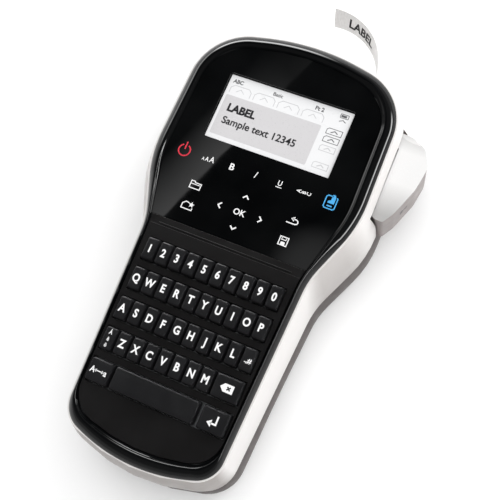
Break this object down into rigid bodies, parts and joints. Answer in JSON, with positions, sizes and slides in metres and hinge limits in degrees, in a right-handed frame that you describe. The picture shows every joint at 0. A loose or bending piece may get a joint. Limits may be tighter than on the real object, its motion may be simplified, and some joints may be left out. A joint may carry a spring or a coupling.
{
  "type": "label maker",
  "caption": "Handheld label maker with letter keys, a display panel, a side cutting lever, a cassette door and a battery cover; a printed tape comes out of the top edge.",
  "frame": {"origin": "on the flat strip across the back, on the middle line, just above the battery cover's edge", "axes": "+X to the user's right, +Y up the device towards the tape exit, +Z out of the face with the keys"},
  "size_m": [0.1259, 0.2476, 0.052],
  "materials": {
    "black_gloss": "gloss",
    "display_lens": "high gloss",
    "display": "satin",
    "keypad_black": "fine texture",
    "silicone": "matte",
    "board_green": "satin",
    "silver_plastic": "satin metallic paint",
    "grey_plastic": "fine texture",
    "frame_plastic": "matte",
    "battery_wrap": "satin",
    "cassette_plastic": "matte",
    "label_white": "satin laminate",
    "ribbon_black": "satin",
    "head_aluminium": "satin",
    "roller_rubber": "matte",
    "gear_nylon": "matte",
    "pinion_brass": "satin",
    "steel": "satin",
    "lever_plastic": "satin",
    "socket_black": "matte",
    "key_black": "satin"
  },
  "bodies": {
    "body": {"front_bezel": "black_gloss", "display_panel": "display_lens", "lcd_module": "display", "keypad_plate": "keypad_black", "keypad_domes": "silicone", "main_board": "board_green", "side_shell": "silver_plastic", "rear_housing": "grey_plastic", "mechanism_frame": "frame_plastic", "battery_pack": "battery_wrap", "label_cassette": "cassette_plastic", "label_tape": "label_white", "print_head": "head_aluminium", "drive_motor": "steel", "cutter_pin": "steel", "case_screws": "steel", "power_socket": "socket_black"},
    "door": {"cassette_door": "grey_plastic"},
    "cover": {"battery_cover": "grey_plastic"},
    "lever": {"cutter_lever": "lever_plastic", "lever_spring": "steel"},
    "blade": {"cutter_blade": "steel"},
    "tape_roll": {"tape_spool": "label_white"},
    "ribbon_roll": {"ribbon_spool": "ribbon_black"},
    "roller": {"platen_roller": "roller_rubber"},
    "middle_gear": {"drive_gear": "gear_nylon"},
    "pinion": {"motor_pinion": "pinion_brass"},
    "number_row": {"number_keys": "key_black"},
    "key_q": {"key_q": "key_black"},
    "key_w": {"key_w": "key_black"},
    "key_e": {"key_e": "key_black"},
    "key_r": {"key_r": "key_black"},
    "key_t": {"key_t": "key_black"},
    "key_y": {"key_y": "key_black"},
    "key_u": {"key_u": "key_black"},
    "key_i": {"key_i": "key_black"},
    "key_o": {"key_o": "key_black"},
    "key_p": {"key_p": "key_black"},
    "key_a": {"key_a": "key_black"},
    "key_s": {"key_s": "key_black"},
    "key_d": {"key_d": "key_black"},
    "key_f": {"key_f": "key_black"},
    "key_g": {"key_g": "key_black"},
    "key_h": {"key_h": "key_black"},
    "key_j": {"key_j": "key_black"},
    "key_k": {"key_k": "key_black"},
    "key_l": {"key_l": "key_black"},
    "key_punctuation": {"key_punctuation": "key_black"},
    "key_accent": {"key_accent": "key_black"},
    "key_z": {"key_z": "key_black"},
    "key_x": {"key_x": "key_black"},
    "key_c": {"key_c": "key_black"},
    "key_v": {"key_v": "key_black"},
    "key_b": {"key_b": "key_black"},
    "key_n": {"key_n": "key_black"},
    "key_m": {"key_m": "key_black"},
    "key_backspace": {"key_backspace": "key_black"},
    "key_caps": {"key_caps": "key_black"},
    "key_space": {"key_space": "key_black"},
    "key_enter": {"key_enter": "key_black"}
  },
  "joints": [
    {"name": "battery_cover_slide", "type": "slide", "parent": "body", "child": "cover", "axis": [0, -1, 0], "range_m": [0, 0.01]},
    {"name": "cassette_door_hinge", "type": "hinge", "parent": "body", "child": "door", "pos_m": [0, 0.0286, 0.0018], "axis": [-1, 0, 0], "range_deg": [0, 95]},
    {"name": "cutter_lever_press", "type": "hinge", "parent": "body", "child": "lever", "pos_m": [0.05, 0.042, 0.028], "axis": [0, 0, 1], "range_deg": [0, 10], "stiffness_Nm_per_rad": 0.8, "springref_deg": -8.59},
    {"name": "cutter_blade_slide", "type": "slide", "parent": "body", "child": "blade", "axis": [-1, 0, 0], "range_m": [0, 0.0079]},
    {"name": "drive_tape_spool", "type": "hinge", "parent": "body", "child": "tape_roll", "pos_m": [-0.021, 0.0605, 0.014], "axis": [0, 0, 1], "continuous": true},
    {"name": "drive_platen_roller", "type": "hinge", "parent": "body", "child": "roller", "pos_m": [0.03295, 0.076, 0.014], "axis": [0, 0, 1], "continuous": true},
    {"name": "drive_middle_gear", "type": "hinge", "parent": "body", "child": "middle_gear", "pos_m": [0.03295, 0.0616, 0.0287], "axis": [0, 0, 1], "continuous": true},
    {"name": "drive_motor_pinion", "type": "hinge", "parent": "body", "child": "pinion", "pos_m": [0.03295, 0.0502, 0.0287], "axis": [0, 0, 1], "continuous": true},
    {"name": "drive_ribbon_spool", "type": "hinge", "parent": "body", "child": "ribbon_roll", "pos_m": [0.011, 0.074, 0.014], "axis": [0, 0, 1], "continuous": true},
    {"name": "number_keys_press", "type": "slide", "parent": "body", "child": "number_row", "axis": [0, 0, -1], "range_m": [0, 0.001], "stiffness_N_per_m": 400, "springref_m": -0.0008},
    {"name": "key_q_press", "type": "slide", "parent": "body", "child": "key_q", "axis": [0, 0, -1], "range_m": [0, 0.001], "stiffness_N_per_m": 400, "springref_m": -0.0008},
    {"name": "key_w_press", "type": "slide", "parent": "body", "child": "key_w", "axis": [0, 0, -1], "range_m": [0, 0.001], "stiffness_N_per_m": 400, "springref_m": -0.0008},
    {"name": "key_e_press", "type": "slide", "parent": "body", "child": "key_e", "axis": [0, 0, -1], "range_m": [0, 0.001], "stiffness_N_per_m": 400, "springref_m": -0.0008},
    {"name": "key_r_press", "type": "slide", "parent": "body", "child": "key_r", "axis": [0, 0, -1], "range_m": [0, 0.001], "stiffness_N_per_m": 400, "springref_m": -0.0008},
    {"name": "key_t_press", "type": "slide", "parent": "body", "child": "key_t", "axis": [0, 0, -1], "range_m": [0, 0.001], "stiffness_N_per_m": 400, "springref_m": -0.0008},
    {"name": "key_y_press", "type": "slide", "parent": "body", "child": "key_y", "axis": [0, 0, -1], "range_m": [0, 0.001], "stiffness_N_per_m": 400, "springref_m": -0.0008},
    {"name": "key_u_press", "type": "slide", "parent": "body", "child": "key_u", "axis": [0, 0, -1], "range_m": [0, 0.001], "stiffness_N_per_m": 400, "springref_m": -0.0008},
    {"name": "key_i_press", "type": "slide", "parent": "body", "child": "key_i", "axis": [0, 0, -1], "range_m": [0, 0.001], "stiffness_N_per_m": 400, "springref_m": -0.0008},
    {"name": "key_o_press", "type": "slide", "parent": "body", "child": "key_o", "axis": [0, 0, -1], "range_m": [0, 0.001], "stiffness_N_per_m": 400, "springref_m": -0.0008},
    {"name": "key_p_press", "type": "slide", "parent": "body", "child": "key_p", "axis": [0, 0, -1], "range_m": [0, 0.001], "stiffness_N_per_m": 400, "springref_m": -0.0008},
    {"name": "key_a_press", "type": "slide", "parent": "body", "child": "key_a", "axis": [0, 0, -1], "range_m": [0, 0.001], "stiffness_N_per_m": 400, "springref_m": -0.0008},
    {"name": "key_s_press", "type": "slide", "parent": "body", "child": "key_s", "axis": [0, 0, -1], "range_m": [0, 0.001], "stiffness_N_per_m": 400, "springref_m": -0.0008},
    {"name": "key_d_press", "type": "slide", "parent": "body", "child": "key_d", "axis": [0, 0, -1], "range_m": [0, 0.001], "stiffness_N_per_m": 400, "springref_m": -0.0008},
    {"name": "key_f_press", "type": "slide", "parent": "body", "child": "key_f", "axis": [0, 0, -1], "range_m": [0, 0.001], "stiffness_N_per_m": 400, "springref_m": -0.0008},
    {"name": "key_g_press", "type": "slide", "parent": "body", "child": "key_g", "axis": [0, 0, -1], "range_m": [0, 0.001], "stiffness_N_per_m": 400, "springref_m": -0.0008},
    {"name": "key_h_press", "type": "slide", "parent": "body", "child": "key_h", "axis": [0, 0, -1], "range_m": [0, 0.001], "stiffness_N_per_m": 400, "springref_m": -0.0008},
    {"name": "key_j_press", "type": "slide", "parent": "body", "child": "key_j", "axis": [0, 0, -1], "range_m": [0, 0.001], "stiffness_N_per_m": 400, "springref_m": -0.0008},
    {"name": "key_k_press", "type": "slide", "parent": "body", "child": "key_k", "axis": [0, 0, -1], "range_m": [0, 0.001], "stiffness_N_per_m": 400, "springref_m": -0.0008},
    {"name": "key_l_press", "type": "slide", "parent": "body", "child": "key_l", "axis": [0, 0, -1], "range_m": [0, 0.001], "stiffness_N_per_m": 400, "springref_m": -0.0008},
    {"name": "key_punctuation_press", "type": "slide", "parent": "body", "child": "key_punctuation", "axis": [0, 0, -1], "range_m": [0, 0.001], "stiffness_N_per_m": 400, "springref_m": -0.0008},
    {"name": "key_accent_press", "type": "slide", "parent": "body", "child": "key_accent", "axis": [0, 0, -1], "range_m": [0, 0.001], "stiffness_N_per_m": 400, "springref_m": -0.0008},
    {"name": "key_z_press", "type": "slide", "parent": "body", "child": "key_z", "axis": [0, 0, -1], "range_m": [0, 0.001], "stiffness_N_per_m": 400, "springref_m": -0.0008},
    {"name": "key_x_press", "type": "slide", "parent": "body", "child": "key_x", "axis": [0, 0, -1], "range_m": [0, 0.001], "stiffness_N_per_m": 400, "springref_m": -0.0008},
    {"name": "key_c_press", "type": "slide", "parent": "body", "child": "key_c", "axis": [0, 0, -1], "range_m": [0, 0.001], "stiffness_N_per_m": 400, "springref_m": -0.0008},
    {"name": "key_v_press", "type": "slide", "parent": "body", "child": "key_v", "axis": [0, 0, -1], "range_m": [0, 0.001], "stiffness_N_per_m": 400, "springref_m": -0.0008},
    {"name": "key_b_press", "type": "slide", "parent": "body", "child": "key_b", "axis": [0, 0, -1], "range_m": [0, 0.001], "stiffness_N_per_m": 400, "springref_m": -0.0008},
    {"name": "key_n_press", "type": "slide", "parent": "body", "child": "key_n", "axis": [0, 0, -1], "range_m": [0, 0.001], "stiffness_N_per_m": 400, "springref_m": -0.0008},
    {"name": "key_m_press", "type": "slide", "parent": "body", "child": "key_m", "axis": [0, 0, -1], "range_m": [0, 0.001], "stiffness_N_per_m": 400, "springref_m": -0.0008},
    {"name": "key_backspace_press", "type": "slide", "parent": "body", "child": "key_backspace", "axis": [0, 0, -1], "range_m": [0, 0.001], "stiffness_N_per_m": 400, "springref_m": -0.0008},
    {"name": "key_caps_press", "type": "slide", "parent": "body", "child": "key_caps", "axis": [0, 0, -1], "range_m": [0, 0.001], "stiffness_N_per_m": 400, "springref_m": -0.0008},
    {"name": "key_space_press", "type": "slide", "parent": "body", "child": "key_space", "axis": [0, 0, -1], "range_m": [0, 0.001], "stiffness_N_per_m": 400, "springref_m": -0.0008},
    {"name": "key_enter_press", "type": "slide", "parent": "body", "child": "key_enter", "axis": [0, 0, -1], "range_m": [0, 0.001], "stiffness_N_per_m": 400, "springref_m": -0.0008}
  ],
  "couplings": [
    {"joint": "cutter_blade_slide", "follows": "cutter_lever_press", "m_per_rad": 0.0447},
    {"joint": "drive_platen_roller", "follows": "drive_tape_spool", "ratio": -5.25},
    {"joint": "drive_middle_gear", "follows": "drive_tape_spool", "ratio": 5.25},
    {"joint": "drive_motor_pinion", "follows": "drive_tape_spool", "ratio": -9},
    {"joint": "drive_ribbon_spool", "follows": "drive_tape_spool", "ratio": 3.2308}
  ]
}
